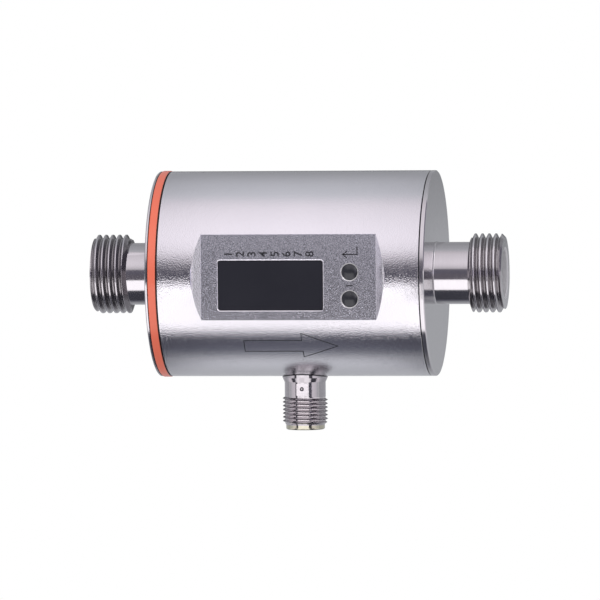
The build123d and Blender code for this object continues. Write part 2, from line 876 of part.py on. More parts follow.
def connector_shell():
    """Turned and threaded socket shell; its collar is hollowed to sit on the round housing."""
    collar_r, collar_end_r = connector_collar_diameter / 2, connector_collar_end_diameter / 2
    shank_r, thread_r = connector_shank_diameter / 2, connector_thread_diameter / 2
    end_r, cavity_r = connector_end_diameter / 2, connector_socket_diameter / 2
    back_r, neck_r = connector_back_diameter / 2, connector_neck_diameter / 2
    bevel = connector_thread_bevel
    shell = turned_z(
        connector_x,
        (back_r, shell_top_z), (neck_r, shell_top_z), (neck_r, -inner_r), (collar_r, -inner_r),
        (collar_r, -housing_r), (collar_end_r, collar_end_z), (shank_r, collar_end_z),
        (shank_r, shank_end_z), (thread_r - bevel, shank_end_z),
        (thread_r, shank_end_z - bevel), (thread_r, thread_end_z + bevel),
        (thread_r - bevel, thread_end_z), (end_r, thread_end_z),
        (end_r, connector_end_z + connector_end_bevel), (end_r - connector_end_bevel, connector_end_z),
        (cavity_r, connector_end_z), (cavity_r, insert_step_z), (back_r, insert_step_z),
    )
    seat = ring_x(0, housing_r + slip / 2, connector_x - housing_r, connector_x + housing_r)
    shell -= seat - rod_z(connector_x, neck_r, -housing_r - housing_wall, 0)
    middle = (collar_end_z + shank_end_z) / 2
    face_y = -(shank_r - connector_flat_depth)
    cutter = block(
        (-shank_r, shank_r), (face_y - shank_r, face_y),
        (middle - connector_flat_height / 2, middle + connector_flat_height / 2),
    )
    cutter += rod_y(0, middle, connector_dimple_diameter / 2, face_y, face_y + connector_dimple_depth)
    return shell - Pos(connector_x, 0, 0) * (Rot(0, 0, -connector_flat_angle) * cutter)


def pin_places():
    reach = pin_circle / 2
    return ((reach, 0), (0, reach), (-reach, 0), (0, -reach))


def connector_insert():
    """Insulator that carries the contacts."""
    wide, narrow = connector_socket_diameter / 2 - slip, connector_back_diameter / 2 - slip
    body = turned_z(
        connector_x, (0, shell_top_z), (narrow, shell_top_z), (narrow, insert_step_z),
        (wide, insert_step_z), (wide, insert_face_z), (0, insert_face_z),
    )
    for x, y in pin_places():
        body -= Pos(0, y, 0) * rod_z(connector_x + x, pin_diameter / 2, insert_face_z, shell_top_z)
    return body


def connector_pins():
    low, high, radius = pin_tip_z, pin_top_z, pin_diameter / 2
    pin = turned_z(0, (0, low), (radius / 2, low), (radius, low + radius), (radius, high), (0, high))
    return Compound(children=[Pos(connector_x + x, y, 0) * pin for x, y in pin_places()])


def connector_saddle():
    """Shaped washer between the round housing wall and the flat locknut."""
    neck, outer = connector_neck_diameter / 2 + slip, connector_saddle_diameter / 2
    washer = ring_z(connector_x, neck, outer, -inner_r, saddle_top_z)
    washer &= ring_x(0, inner_r - slip / 2, connector_x - outer, connector_x + outer)
    return washer - ring_z(
        connector_x, 0, neck + connector_seal_width, saddle_top_z - connector_seal_height, saddle_top_z
    )


def connector_seal():
    neck = connector_neck_diameter / 2
    return ring_z(
        connector_x, neck, neck + connector_seal_width, saddle_top_z - connector_seal_height, saddle_top_z
    )


def connector_nut():
    outline = RegularPolygon(connector_nut_size / 2, 6, major_radius=False)
    nut = Pos(connector_x, 0, saddle_top_z) * extrude(outline, amount=connector_nut_height)
    return nut - rod_z(connector_x, connector_neck_diameter / 2 + slip, saddle_top_z, nut_top_z)


def connector_board():
    low, high = shell_top_z, shell_top_z + connector_board_thickness
    board = rod_z(connector_x, connector_board_diameter / 2, low, high)
    for x, y in pin_places():
        board -= Pos(0, y, 0) * rod_z(connector_x + x, pin_diameter / 2, low, high)
    return board


pieces = (
    housing_tube, inlet_fitting, outlet_fitting, spigot_seals, marker_ring, outlet_gap_gasket,
    display_window, window_gasket, display_carrier, carrier_screws, display_board, digit_display,
    status_lamps, light_guide, upper_button, lower_button, button_seals, upper_switch, lower_switch,
    upper_plunger, lower_plunger, measuring_tube, tube_seals, electrodes, electrode_seals,
    electrode_nuts, temperature_probe, upper_pole, lower_pole, upper_bobbin, lower_bobbin,
    upper_coil, lower_coil, upper_yoke, lower_yoke, yoke_screws, inlet_frame, outlet_frame,
    main_board, board_parts, board_link, link_sockets, connector_shell, connector_insert,
    connector_pins, connector_saddle, connector_seal, connector_nut, connector_board,
)

os.makedirs("parts", exist_ok=True)
for piece in pieces:
    export_step(piece(), f"parts/{piece.__name__}.step")
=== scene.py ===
# %% [markdown]
# # An inline flow meter
#
# The meter is a short steel drum that sits in a pipe. A threaded nipple leaves each end, a flat is pressed into the
# front for a dark window and two buttons, and a round cable connector points down. The exact shapes of most pieces
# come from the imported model. This file adds the screw threads, the printing, the finishes, the light and the camera.
# Everything here is in metres, so `mm` turns a drawing's number into Blender's.

import json
from math import cos, pi, radians, sin

import bmesh
import bpy
import numpy as np
from mathutils import Matrix, Vector


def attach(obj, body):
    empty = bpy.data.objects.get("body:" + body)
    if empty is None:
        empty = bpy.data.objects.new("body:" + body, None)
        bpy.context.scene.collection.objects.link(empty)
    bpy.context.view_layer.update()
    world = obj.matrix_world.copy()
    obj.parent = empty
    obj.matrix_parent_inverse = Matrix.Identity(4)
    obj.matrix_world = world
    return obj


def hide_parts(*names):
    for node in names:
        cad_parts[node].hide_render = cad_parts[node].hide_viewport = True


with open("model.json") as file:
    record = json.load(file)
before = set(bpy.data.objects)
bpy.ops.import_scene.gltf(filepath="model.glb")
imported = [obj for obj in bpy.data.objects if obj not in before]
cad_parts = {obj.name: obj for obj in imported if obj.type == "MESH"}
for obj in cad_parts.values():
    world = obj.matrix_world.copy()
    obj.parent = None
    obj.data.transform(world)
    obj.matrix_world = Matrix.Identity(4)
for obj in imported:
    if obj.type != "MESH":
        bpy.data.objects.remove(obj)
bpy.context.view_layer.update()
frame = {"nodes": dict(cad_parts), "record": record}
mm = 0.001

# %% [markdown]
# Some sizes of the solids are needed by the finishes and by the meshes alike, so they stand here once. The numbers
# are millimetres, x runs with the flow from the middle of the drum, the front is at -y, and z points up.

# %% Sizes that the finishes and the meshes share
tip, bore, mouth, neck = 55.0, 6.5, 0.4, 8.225     # the nipple's end, then radii, with the bore's chamfer between
drum, ring_crown = 27.25, 27.27                    # radius of the drum, and where the ring rises out of its groove
flat_depth, flat_left, flat_right = 24.82, -22.6, 23.9
button_x, button_levels, hole_rim = 16.8, (1.3, -5.8), 2.36
outlet_joint, collar_joint = 35.3, 27.46
thread_major, thread_pitch = 10.4775, 1.814
shell_x, shell_end, shank = 1.2, -41.45, 5.45
cable_top, cable_foot = -32.7, -40.0               # both ends of the connector's thread

# %% [markdown]
# ## Shader arithmetic
#
# A procedural finish is mostly arithmetic on coordinates and noise. `Wire` holds one output of a node, and a sum or
# a product of wires adds the Math node for it, so a formula reads as a formula. The reflected forms let a plain
# number stand on the left, as in `1 - mask`.

# %% One output of a node, with arithmetic
class Wire:
    def __init__(self, finish, socket):
        self.finish, self.socket = finish, socket

    def beside(self, name):
        """Another output of the same node."""
        return Wire(self.finish, self.socket.node.outputs[name])

    def maths(self, operation, *values):
        return self.finish.node("Math", {"operation": operation}, dict(enumerate(values)))

    def __add__(self, other):
        return self.maths("ADD", self, other)

    def __radd__(self, other):
        return self.maths("ADD", other, self)

    def __sub__(self, other):
        return self.maths("SUBTRACT", self, other)

    def __rsub__(self, other):
        return self.maths("SUBTRACT", other, self)

    def __mul__(self, other):
        return self.maths("MULTIPLY", self, other)

    def __rmul__(self, other):
        return self.maths("MULTIPLY", other, self)

    def __pow__(self, other):
        return self.maths("POWER", self, other)

    def __lt__(self, other):
        return self.maths("LESS_THAN", self, other)

    def __gt__(self, other):
        return self.maths("GREATER_THAN", self, other)


# %% [markdown]
# Every other node is made by one method. It takes the node's type, then its settings, which have to be set first
# because some of them decide which sockets the node has, and then a value or a wire for each socket.

# %% A finish and the one method that makes its nodes
class Finish:
    def __init__(self, name, owner=None):
        self.material = owner or bpy.data.materials.new(name)
        self.material.use_nodes = True
        self.tree = self.material.node_tree
        self.tree.nodes.clear()

    def node(self, kind, settings=None, inputs=None, output=0):
        made = self.tree.nodes.new("ShaderNode" + kind)
        for name, value in (settings or {}).items():
            if name == "stops":
                self.set_stops(made.color_ramp, value)
            else:
                setattr(made, name, value)
        for key, value in (inputs or {}).items():
            if isinstance(value, Wire):
                self.tree.links.new(value.socket, made.inputs[key])
            else:
                made.inputs[key].default_value = value
        return Wire(self, made.outputs[output]) if made.outputs else None

    def set_stops(self, ramp, stops):
        while len(ramp.elements) < len(stops):
            ramp.elements.new(1.0)
        for element, (place, colour) in zip(ramp.elements, stops):
            element.position, element.color = place, colour

    def spot(self):
        """Where a point is on its own piece."""
        return self.node("TexCoord", output="Object")

    def place(self):
        """The same as a vector and as x, y and z."""
        vector = self.spot()
        x = self.node("SeparateXYZ", inputs={0: vector})
        return vector, x, x.beside("Y"), x.beside("Z")

    def noise(self, vector, scale, detail=2.0):
        return self.node("TexNoise", None, {"Vector": vector, "Scale": scale, "Detail": detail})

    def rings(self, length, scale, detail):
        """Noise that depends on one length alone, which gives parallel turning lines."""
        return self.node("TexNoise", {"noise_dimensions": "1D"}, {"W": length, "Scale": scale, "Detail": detail})

    def turning(self, vector, length):
        """What a lathe leaves: fine lines, wide lines and soft smears."""
        return self.rings(length, 4500.0, 3.0), self.rings(length, 900.0, 2.0), self.noise(vector, 420.0, 3.0)

    def flanks(self, out, along, crest, flank, root, start, end):
        """1 on the flanks of a thread, 0 on its crests and past its ends. The sizes are in millimetres."""
        below = self.node("MapRange", None, {0: out, 1: crest * mm, 2: flank * mm})
        return below * (out > root * mm) * (along > start * mm) * (along < end * mm)

    def orange_peel(self, vector, scale=1800.0):
        """The skin of a moulding, and a mixture of it with slow changes of tone."""
        peel = self.noise(vector, scale)
        return peel, self.noise(vector, 160.0, 3.0) * 0.6 + peel * 0.4

    def blend(self, factor, first, second):
        """A colour between two colours."""
        return self.node("Mix", {"data_type": "RGBA"}, {0: factor, 6: first, 7: second}, output=2)

    def bump(self, height, depth, below=None):
        inputs = {"Height": height, "Distance": depth}
        if below:
            inputs["Normal"] = below
        return self.node("Bump", None, inputs)

    def punched(self, across, up, side, radius):
        """A round bowl pressed into one side: 0 at its bottom, 1 outside."""
        out = (across * across + up * up) ** 0.5
        bowl = self.node("MapRange", {"interpolation_type": "SMOOTHSTEP"}, {0: out, 1: radius * 0.2, 2: radius})
        return 1 - (1 - bowl) * side

    def surface(self, **sockets):
        inputs = {name.replace("_", " "): value for name, value in sockets.items()}
        shader = self.node("BsdfPrincipled", None, inputs)
        self.node("OutputMaterial", None, {"Surface": shader})
        return self.material

    def card(self, colour, strength):
        """A surface that only glows, and that isn't sampled as a lamp."""
        light = self.node("Emission", None, {"Color": colour, "Strength": strength})
        self.node("OutputMaterial", None, {"Surface": light})
        self.material.cycles.emission_sampling = "NONE"
        return self.material


def tone(red, green, blue):
    return (red, green, blue, 1.0)


def darker(base, share):
    return tuple(part * share for part in base[:3]) + (1.0,)


# Painted shade for the thin joints at the outlet cap and under the connector's collar.
painted_joint_shade = tone(0.05, 0.05, 0.055)


# %% [markdown]
# ## Metal finishes
#
# The drum is fine-blasted stainless steel. Its light and dark bands are reflections, and where two bands meet they
# break up into grain, because each blasted pit tilts the surface a little. A bump of noise with grains about a third
# of a millimetre wide gives exactly that, and the roughness stays low, so that the bands keep their places.
# The press has left the flat a little duller than the round, so part of its light is scattered. There the grains
# differ in tone instead, and a painted gradient of light makes the flat lighter towards its top. Around the two
# button holes lies a bright ring of painted highlight, and past the joint with the outlet cap the drum's edge is
# painted near black, painted shade of the joint.

# %% Blasted steel of the drum
coarse_grain, fine_grain, cloudiness = 3500.0, 4200.0, 90.0
# The last two numbers set a painted gradient of light: the flat's colour grows lighter towards its top.
flat_half_height, flat_light, flat_painted_light_rise = 11, 0.49, 0.34


def blasted_steel():
    finish = Finish("blasted_steel")
    vector, x, y, z = finish.place()
    grain = finish.noise(vector, coarse_grain, 1.0)
    fine = finish.noise(vector, fine_grain, 1.0)
    cloud = finish.noise(vector, cloudiness, 3.0)
    front_side, plane = y < -24.0 * mm, (y > (-flat_depth - 0.02) * mm) * (y < (-flat_depth + 0.02) * mm)
    flat = plane * (x > flat_left * mm) * (x < flat_right * mm)
    across = (x - button_x * mm) * (x - button_x * mm)
    holes = [(across + (z - level * mm) * (z - level * mm)) ** 0.5 < hole_rim * mm for level in button_levels]
    # Painted highlight: a near-white ring around each button hole.
    painted_rim_highlight = (holes[0] + holes[1]) * front_side
    speck = (grain - 0.5) * 1.6 + (fine - 0.5) * 3.4
    colour = finish.blend(cloud * 0.8 + speck * (0.12 + flat * 0.9), tone(0.585, 0.575, 0.605),
                          tone(0.625, 0.612, 0.64))
    # Painted light: the flat's colour grows lighter with height, on top of its grain.
    flat_colour_with_painted_light = finish.blend(speck * 0.8 + z * (flat_painted_light_rise / (flat_half_height * mm)) + flat_light,
                           tone(0.36, 0.355, 0.39), tone(0.88, 0.865, 0.95))
    steel = finish.blend(painted_rim_highlight, finish.blend(flat, colour, flat_colour_with_painted_light), tone(0.95, 0.93, 0.95))
    # Painted shade: the drum's edge past the outlet joint is painted near black.
    steel = finish.blend(x > outlet_joint * mm, steel, painted_joint_shade)
    return finish.surface(
        Base_Color=steel, Metallic=1.0 - flat * 0.18 - painted_rim_highlight * 0.5,
        Roughness=0.09 + cloud * 0.02 + fine * 0.03 + flat * 0.05,
        Normal=finish.bump((grain + fine * 0.5) * (1 - flat * 0.6), 0.04 * mm),
    )


# %% [markdown]
# The fittings are turned on a lathe and polished, so their reflections have sharp edges. What is left of the tool
# are very fine rings. They run across the axis on the cylinders and around it on the faces, and noise in one
# direction, fed with the distance along the axis plus the distance from it, draws both. The flanks of the threads
# are painted darker, painted shade in the grooves. The bore is grey and matt.

# %% Turned steel of the fittings
tool_marks = 0.0012 * mm


def turned_steel():
    finish = Finish("turned_steel")
    vector, x, y, z = finish.place()
    out = (y * y + z * z) ** 0.5
    lines, wide, smear = finish.turning(vector, x + out * 0.8)
    colour = finish.blend(lines * 0.6 + smear * 0.4, tone(0.575, 0.555, 0.575), tone(0.49, 0.475, 0.49))
    cut = finish.flanks(out, (x * x) ** 0.5, crest=10.42, flank=10.2, root=8.35, start=45.2, end=tip - 0.03)
    # Painted shade: the thread's flanks are darker than its crests.
    colour = finish.blend(cut, colour, tone(0.34, 0.325, 0.335))
    inside = out < (bore + mouth) * mm
    colour = finish.blend(inside, colour, tone(0.62, 0.61, 0.63))
    rough = 0.1 + wide * 0.04 + smear * 0.03 + cut * 0.06 + inside * 0.5
    return finish.surface(Base_Color=colour, Metallic=1.0 - inside * 0.85, Roughness=rough,
                          Normal=finish.bump(lines + wide, tool_marks))


# %% [markdown]
# The connector is turned too and nickel-plated. Its key side is marked by a small round punch whose sloping wall
# carries painted shade, and the end below the thread has a faint olive tint. The thread's flanks are painted lighter,
# painted light, and where the collar meets the drum a hair-thin band is painted near black, painted shade of the
# joint.

# %% Nickel plate of the connector
punch_x, punch_z, punch_radius = 1.06, -30.5, 0.6
olive_from = cable_foot - 0.25


def nickel_plate():
    finish = Finish("nickel_plate")
    vector, x, y, z = finish.place()
    side = x - shell_x * mm
    out = (side * side + y * y) ** 0.5
    lines, wide, smear = finish.turning(vector, z + out * 0.8)
    colour = finish.blend(lines * 0.6 + smear * 0.4, tone(0.445, 0.42, 0.44), tone(0.39, 0.37, 0.385))
    cut = finish.flanks(out, z, crest=5.97, flank=5.75, root=5.2, start=cable_foot, end=cable_top - 0.05)
    # Painted light: the thread's flanks are lighter than the plate around them.
    colour = finish.blend(cut, colour, tone(0.52, 0.49, 0.505))
    bowl = finish.punched(x - punch_x * mm, z - punch_z * mm, y < 0.0, punch_radius * mm)
    # Painted shade on the sloping wall of the punched bowl.
    colour = finish.blend((1 - bowl) * bowl * 3.4, colour, tone(0.06, 0.06, 0.06))
    colour = finish.blend(z < olive_from * mm, colour, tone(0.47, 0.45, 0.36))
    # Painted shade: where the collar meets the drum a thin band is painted near black.
    colour = finish.blend((y * y + z * z) ** 0.5 < collar_joint * mm, colour, painted_joint_shade)
    marks = finish.bump(lines + wide, tool_marks)
    return finish.surface(Base_Color=colour, Metallic=1.0, Roughness=0.08 + wide * 0.05 + smear * 0.04,
                          Normal=finish.bump(bowl, 0.3 * mm, below=marks))


# %% [markdown]
# The small metal parts inside are tumbled, with soft scratches. One recipe serves them all.

# %% Small metal parts
def plain_metal(name, base, roughness):
    finish = Finish(name)
    vector = finish.spot()
    speck = finish.noise(vector, 2600.0, 3.0)
    patch = finish.noise(vector, 180.0)
    return finish.surface(
        Base_Color=finish.blend(patch * 0.7 + speck * 0.3, base, darker(base, 0.78)), Metallic=1.0,
        Roughness=roughness + speck * 0.12, Normal=finish.bump(speck, 0.004 * mm),
    )


# %% [markdown]
# ## Plastics, rubber and coatings
#
# Moulded plastic has a faint orange-peel skin and tiny changes of tone. One recipe serves them all: a colour, a
# darker companion, a gloss and the depth of the skin.

# %% Moulded parts
def moulded(name, base, roughness, skin=0.004, scale=1800.0, shade=0.8, coat=0.0):
    finish = Finish(name)
    peel, mottle = finish.orange_peel(finish.spot(), scale)
    return finish.surface(
        Base_Color=finish.blend(mottle, base, darker(base, shade)), Roughness=roughness + peel * 0.08,
        Coat_Weight=coat, Coat_Roughness=0.08, Normal=finish.bump(peel, skin * mm),
    )


# %% [markdown]
# The coloured ring stands in a groove with an open joint on both sides. Light hardly gets into a joint a fifth of a
# millimetre wide, so the plastic below its crown is painted dark, painted shade.

# %% Coloured ring
def marker_plastic():
    finish = Finish("marker_plastic")
    vector, _, y, z = finish.place()
    crown = (y * y + z * z) ** 0.5 > ring_crown * mm
    peel, mottle = finish.orange_peel(vector)
    skin_tone = finish.blend(mottle, tone(0.76, 0.16, 0.095), tone(0.7, 0.147, 0.087))
    return finish.surface(
        # Painted shade: below its crown the ring's colour is near black.
        Base_Color=finish.blend(crown, tone(0.035, 0.02, 0.018), skin_tone), Roughness=0.2 + peel * 0.08,
        Specular_IOR_Level=0.4, Normal=finish.bump(peel, 0.004 * mm),
    )


# %% [markdown]
# Two inner parts are easier to recognise by a pattern. The coils show their wire, so the height runs up and down with
# z once per turn, and the boards have copper tracks under the green mask, drawn by the cells of a brick texture.

# %% Coil wire and circuit boards
wire_pitch = 0.32


def coil_wire():
    finish = Finish("coil_wire")
    vector, _, _, z = finish.place()
    turn = finish.node("Math", {"operation": "SINE"}, {0: z * (2 * pi / (wire_pitch * mm))})
    lacquer = finish.noise(vector, 900.0)
    return finish.surface(
        Base_Color=finish.blend(lacquer, tone(0.52, 0.17, 0.06), tone(0.36, 0.10, 0.035)), Metallic=0.85,
        Roughness=0.28 + lacquer * 0.1, Normal=finish.bump(turn * 0.5 + 0.5, 0.12 * mm),
    )


def circuit_board():
    finish = Finish("circuit_board")
    vector = finish.spot()
    tracks = finish.node("TexBrick", {"offset": 0.37, "squash": 1.6}, {
        "Vector": vector, "Scale": 420.0, "Mortar Size": 0.09, "Brick Width": 1.4, "Row Height": 0.35,
        "Color1": tone(0, 0, 0), "Color2": tone(0, 0, 0), "Mortar": tone(1, 1, 1)}, output="Fac")
    weave = finish.noise(vector, 2500.0)
    return finish.surface(
        Base_Color=finish.blend(tracks, tone(0.012, 0.11, 0.05), tone(0.03, 0.2, 0.085)),
        Roughness=0.3 + weave * 0.1, Normal=finish.bump(tracks + weave * 0.2, 0.03 * mm),
    )


# %% [markdown]
# The window is dark tinted plastic, polished on the outside. Only a breath of unevenness keeps it from looking like a
# hole.

# %% Dark window
def tinted_window():
    finish = Finish("tinted_window")
    haze = finish.noise(finish.spot(), 60.0, 3.0)
    return finish.surface(
        Base_Color=finish.blend(haze, tone(0.016, 0.016, 0.022), tone(0.024, 0.024, 0.031)),
        Roughness=0.08 + haze * 0.05, Normal=finish.bump(haze, 0.02 * mm),
    )


# %% Make the finishes and dress the solids that stay
finishes = {
    "satin_steel": blasted_steel(),
    "turned_steel": turned_steel(),
    "marker": marker_plastic(),
    "black_rubber": moulded("black_rubber", tone(0.012, 0.012, 0.014), 0.62, skin=0.01),
    "window": tinted_window(),
    "button": moulded("button_plastic", tone(0.019, 0.02, 0.026), 0.22, skin=0.003, shade=0.7),
    "frame_plastic": moulded("frame_plastic", tone(0.022, 0.022, 0.025), 0.5, skin=0.012),
    "liner": moulded("liner_plastic", tone(0.42, 0.30, 0.16), 0.42, skin=0.006, shade=0.88),
    "seal_rubber": moulded("seal_rubber", tone(0.035, 0.022, 0.018), 0.6, skin=0.008),
    "electrode_steel": plain_metal("electrode_steel", tone(0.62, 0.61, 0.62), 0.16),
    "soft_iron": plain_metal("soft_iron", tone(0.30, 0.30, 0.31), 0.38),
    "copper": coil_wire(),
    "bobbin_plastic": moulded("bobbin_plastic", tone(0.68, 0.65, 0.56), 0.45, shade=0.9),
    "board": circuit_board(),
    "components": moulded("components", tone(0.03, 0.03, 0.032), 0.48, skin=0.015),
    "digits": moulded("digit_block", tone(0.09, 0.09, 0.095), 0.4, skin=0.004),
    "lamp": moulded("lamp_body", tone(0.62, 0.6, 0.42), 0.2, coat=0.5),
    "clear_guide": moulded("light_guide", tone(0.72, 0.76, 0.78), 0.1, coat=0.8, shade=0.95),
    "flex": moulded("film_lead", tone(0.35, 0.15, 0.03), 0.3, coat=0.4),
    "nickel": nickel_plate(),
    "insulator": moulded("insulator", tone(0.018, 0.018, 0.02), 0.4),
    "gold": plain_metal("gold_plate", tone(0.86, 0.58, 0.22), 0.2),
    "fastener": plain_metal("fastener_steel", tone(0.58, 0.575, 0.56), 0.24),
}
slot_of = {part["node"]: part["material_slot"] for part in frame["record"]["subparts"]}
for name, solid in frame["nodes"].items():
    solid.data.materials.clear()
    solid.data.materials.append(finishes[slot_of[name]])
print("finishes:", len(finishes), "on", len(slot_of), "solids")

# %% [markdown]
# ## Screw threads
#
# A thread is one groove that winds along a bar. The mesh follows it: each row of the mesh climbs by one pitch per
# turn, so crest and root are rows of points and stay sharp, where a straight grid would cut them into steps. A row
# that would run past an end of the thread is held at that end, and points that meet there are merged. The form of
# one pitch is given as pairs of position and height, and the chamfers at the ends simply cut it off.

# %% Shape of one pitch
def round_thread(flank, level_share, crest_round, root_round):
    """One pitch with a rounded root and a crest that is rounded at the sides of a narrow level strip."""
    slope = radians(flank)
    turns = np.linspace(0, pi / 2 - slope, 4)
    crest = [(0, 0)] + [(level_share + crest_round * sin(t), crest_round * (cos(t) - 1)) for t in turns]
    drop = (0.5 - crest[-1][0] - root_round * cos(slope)) / np.tan(slope)
    depth = drop - crest[-1][1] + root_round * (1 - sin(slope))
    root = [(0.5 - root_round * sin(t), -depth + root_round * (1 - cos(t))) for t in reversed(turns)]
    half = crest + root
    full = [(-place, height) for place, height in reversed(half[1:-1])] + half
    return np.array(full)


pipe_thread = round_thread(flank=27.5, level_share=0.045, crest_round=0.1, root_round=0.1)
print("depth of the pipe thread in mm:", round(-pipe_thread[:, 1].min() * thread_pitch, 3))


# %% [markdown]
# `thread_rows` returns rows of points in the bar's own terms: distance along the axis, distance from it, and angle.
# `cut` is a function that says how far out the bar reaches at each place and angle, which makes the chamfered tip and
# the fading last turn.

# %% Rows of a thread
def thread_rows(start, end, radius, pitch, crest, form, angles, cut):
    """crest is the place of one crest at angle 0; the helix moves by -pitch per turn of the angle."""
    first = int(np.floor((start - crest) / pitch)) - 1
    last = int(np.ceil((end - crest) / pitch)) + 2
    rows = []
    for turn in range(first, last):
        for place, _ in form:
            along = np.clip(crest + (turn + place - angles / (2 * pi)) * pitch, start, end)
            phase = ((along - crest) / pitch + angles / (2 * pi) + 0.5) % 1.0 - 0.5
            height = np.interp(phase, form[:, 0], form[:, 1], period=1.0)
            rows.append(np.stack([along, np.minimum(radius + height * pitch, cut(along, angles)), angles], 1))
    return rows


def turned_rows(profile, angles):
    """One row for each (along, radius) point of a turned profile."""
    return [np.stack([np.full_like(angles, along), np.full_like(angles, radius), angles], 1)
            for along, radius in profile]


# %% [markdown]
# Rows become a skin by joining each row to the next with quads. Points in the same spot are then merged, which closes
# the seam and tidies the held ends. Edges sharper than a limit stay sharp, and all others are shaded smooth.

# %% From rows to a piece
def finish_mesh(mesh, sharp):
    shape = bmesh.new()
    shape.from_mesh(mesh)
    bmesh.ops.remove_doubles(shape, verts=shape.verts, dist=0.0004 * mm)
    bmesh.ops.dissolve_degenerate(shape, edges=shape.edges, dist=0.0002 * mm)
    bmesh.ops.recalc_face_normals(shape, faces=shape.faces)
    shape.to_mesh(mesh)
    shape.free()
    mesh.polygons.foreach_set("use_smooth", [True] * len(mesh.polygons))
    mesh.set_sharp_from_angle(angle=radians(sharp))


def add_piece(name, points, faces, finish, sharp=38):
    mesh = bpy.data.meshes.new(name)
    mesh.from_pydata([tuple(p) for p in np.asarray(points) * mm], [], faces)
    finish_mesh(mesh, sharp)
    mesh.materials.append(finish)
    piece = bpy.data.objects.new(name, mesh)
    bpy.context.scene.collection.objects.link(piece)
    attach(piece, "meter")
    print(f"{name}: {len(mesh.vertices)} points, {sum(len(p.vertices) - 2 for p in mesh.polygons)} triangles")
    return piece


def skin(rows):
    """Points and quads of rows of equal length, with the first row joined to the last."""
    across = len(rows[0])
    points = np.concatenate(rows)
    faces = []
    for row in range(len(rows)):
        below, above = row * across, ((row + 1) % len(rows)) * across
        faces += [(below + i, below + i + 1, above + i + 1, above + i) for i in range(across - 1)]
    return points, faces


# %% [markdown]
# ## The two fittings
#
# Each fitting is turned from one bar: the nipple with its pipe thread, the neck, the cap that closes the drum, and
# inside it the spigot with a ring groove and the socket for the measuring tube. The profile is walked once around,
# from the mouth of the bore outwards and back inside. The thread's rows take the place of the straight line between
# the tip and the neck. One more row close to the neck's fillet keeps its curved shading off the flat cap. The sizes
# repeat those of the solid that the piece stands for.

# %% Sizes of a fitting
tip_radius, fade_radius, fade_slope = 9.5575, 9.1, 2.755
edge, neck_round, fillet_margin = 0.22, 0.25, 0.1
spigot, spigot_wall, spigot_chamfer = 26.15, 3.0, 0.5
groove_floor, groove_width, groove_inset = 25.0, 2.4, 6.4 / 3
socket, socket_depth, seal_seat = 12.55, 6.0, 9.55


def nipple_cut(start, lag):
    """How far out the bar reaches; the last turn fades, and at the front it does so earlier by the lag."""
    def reach(along, angles):
        late = along - start - lag * np.maximum(np.cos(angles), 0)
        return np.minimum(tip_radius + (tip - along), np.maximum(neck, fade_radius + late * fade_slope))
    return reach


# %% The whole profile of a fitting
def fitting_rows(cap, plate, rim, spigot_end, thread_start, crest, lag):
    angles = np.linspace(0, 2 * pi, 217)
    mouth_side = [(plate, bore), (tip - mouth, bore), (tip, bore + mouth)]
    turns = np.linspace(0, pi / 2, 5)
    fillet = [(cap + neck_round * (1 - sin(t)), neck + neck_round * (1 - cos(t))) for t in turns]
    near, hollow, socket_end = spigot_end + groove_inset, spigot - spigot_wall, plate - socket_depth
    far = near + groove_width
    outside = [
        (thread_start, neck), *fillet, (cap, neck + neck_round + fillet_margin),
        (cap, drum - edge), (cap - edge, drum), (cap - rim, drum), (cap - rim, spigot),
        (far, spigot), (far, groove_floor), (near, groove_floor), (near, spigot),
        (spigot_end + spigot_chamfer, spigot), (spigot_end, spigot - spigot_chamfer), (spigot_end, hollow),
        (plate, hollow), (plate, socket), (socket_end, socket), (socket_end, seal_seat), (plate, seal_seat),
    ]
    thread = thread_rows(thread_start, tip, thread_major, thread_pitch, crest, pipe_thread, angles,
                         nipple_cut(thread_start, lag))
    return turned_rows(mouth_side, angles) + thread[::-1] + turned_rows(outside, angles)


# %% [markdown]
# Both threads are right-handed, and the crests stand where the photograph has them. A point's angle is counted from
# the front over the top, so a right-handed crest moves back along the flow as the angle grows. The inlet's fitting is
# built on the positive side, mirrored to its place, and its helix then has to be wound the other way first.

# %% Build both fittings
def place_fitting(name, rows, side, replaced):
    points, faces = skin(rows)
    along, radius, angle = points.T
    spun = np.stack([side * along, -radius * np.cos(angle * side), radius * np.sin(angle * side)], 1)
    piece = add_piece(name, spun, faces, finishes["turned_steel"])
    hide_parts(replaced)


outlet_crest = 54.4 + thread_pitch / 4
inlet_crest = 53.9 - thread_pitch / 4
outlet_rows = fitting_rows(cap=36.75, plate=32.75, rim=1.15, spigot_end=29.04, thread_start=46.0,
                           crest=outlet_crest, lag=0.0)
inlet_rows = fitting_rows(cap=37.3, plate=33.3, rim=0.62, spigot_end=27.78, thread_start=45.1,
                          crest=inlet_crest, lag=0.7)
place_fitting("outlet_fitting_turned", outlet_rows, 1, "outlet_fitting")
place_fitting("inlet_fitting_turned", inlet_rows, -1, "inlet_fitting")

# %% [markdown]
# ## The cable connector
#
# The connector's shell is a turned bushing with a fine metric thread. Its collar has to follow the round drum above
# it, so the top rows are not level: their height is worked out from the drum's curve at each angle. A small flat on
# the front of the shank carries the key's mark. The thread is sharper than the pipe's, with straight flanks.

# %% Sizes and form of the connector
collar, collar_gap, collar_foot, pocket = 6.03, 0.02, -28.72, 5.5
spot_angle, spot_flat, spot_top, spot_foot = radians(268.5), 5.25, -29.1, -32.3
contact_bore, contact_end, shell_top, shell_bore = 3.7, -30.0, -22.3, 4.25
cable_major, cable_pitch, cable_crest = 6.0, 1.0, -33.6
undercut, undercut_slope, cable_tip, cable_slope = 5.42, 1.9, 5.25, 1.3
cable_thread = np.array([(-0.44, -0.613), (-0.40, -0.6), (-0.055, -0.03), (0, 0), (0.055, -0.03), (0.40, -0.6),
                         (0.44, -0.613)])


